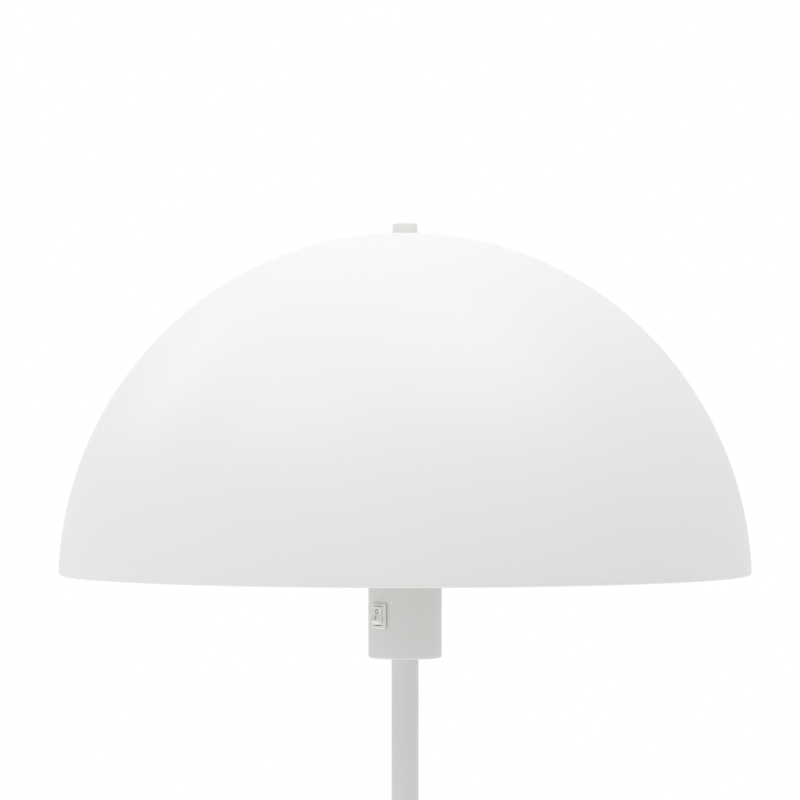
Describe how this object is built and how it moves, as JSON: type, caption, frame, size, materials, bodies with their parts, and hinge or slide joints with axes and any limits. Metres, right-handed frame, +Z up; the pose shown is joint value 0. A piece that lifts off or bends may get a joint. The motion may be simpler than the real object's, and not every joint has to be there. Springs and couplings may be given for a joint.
{
  "type": "floor lamp",
  "caption": "White mushroom floor lamp: a spun dome shade with a rolled rim on a slim round pole, with a rocker switch in the cup under it and a weighted disc base.",
  "frame": {"origin": "on the floor under the pole, at the middle of the base pad's underside", "axes": "+Z up along the pole, -Y towards the switch, +Y towards the cord inlet"},
  "size_m": [0.4098, 0.4098, 1.3984],
  "materials": {
    "white_enamel": "satin white enamel",
    "switch_white": "moulded white plastic",
    "zinc_steel": "zinc plated",
    "contact_brass": "stamped brass",
    "iron_casting": "as cast, sealed",
    "dark_rubber": "matt",
    "holder_plastic": "moulded",
    "nylon": "natural",
    "cap_metal": "rolled thread shell",
    "bulb_black": "glassy insulator",
    "bulb_plastic": "moulded white",
    "bulb_opal": "opal diffuser",
    "lead_insulation": "PVC insulation"
  },
  "bodies": {
    "stand": {"base_cover": "white_enamel", "base_pad": "dark_rubber", "base_weight": "iron_casting", "bulb_body": "bulb_plastic", "bulb_cap": "cap_metal", "bulb_contact": "contact_brass", "bulb_globe": "bulb_opal", "bulb_insulator": "bulb_black", "centre_contact": "contact_brass", "clamp_ring": "holder_plastic", "cord_grommet": "dark_rubber", "foot_nut": "zinc_steel", "foot_stud": "zinc_steel", "foot_washer": "zinc_steel", "harp": "white_enamel", "head_nut": "zinc_steel", "head_stud": "zinc_steel", "head_washer": "zinc_steel", "holder_bracket": "zinc_steel", "holder_cap": "holder_plastic", "holder_core": "holder_plastic", "holder_lead": "lead_insulation", "holder_locknut": "zinc_steel", "holder_sleeve": "holder_plastic", "holder_stud": "zinc_steel", "live_blade": "contact_brass", "load_blade": "contact_brass", "lower_joint_stud": "zinc_steel", "lower_pole": "white_enamel", "lower_pole_foot_bush": "zinc_steel", "lower_pole_top_bush": "zinc_steel", "middle_joint_stud": "zinc_steel", "middle_pole": "white_enamel", "middle_pole_foot_bush": "zinc_steel", "middle_pole_top_bush": "zinc_steel", "shade": "white_enamel", "shade_seat_washer": "nylon", "side_contact": "contact_brass", "switch_frame": "switch_white", "switch_housing": "white_enamel", "upper_pole": "white_enamel", "upper_pole_foot_bush": "zinc_steel", "upper_pole_top_bush": "zinc_steel"},
    "rocker": {"rocker_button": "switch_white"},
    "knob_washer": {"finial_washer": "nylon"},
    "knob": {"finial_knob": "white_enamel"}
  },
  "joints": [
    {"name": "rocker_tip", "type": "hinge", "parent": "stand", "child": "rocker", "pos_m": [0, -0.0207, 1.1655], "axis": [1, 0, 0], "range_deg": [0, 31]},
    {"name": "knob_rise", "type": "slide", "parent": "stand", "child": "knob_washer", "axis": [0, 0, 1], "range_m": [0, 0.0035]},
    {"name": "knob_turn", "type": "hinge", "parent": "knob_washer", "child": "knob", "pos_m": [0, 0, 1.3923], "axis": [0, 0, 1], "range_deg": [0, 1260]}
  ],
  "couplings": [
    {"joint": "knob_rise", "follows": "knob_turn", "m_per_rad": 0.00015915}
  ]
}
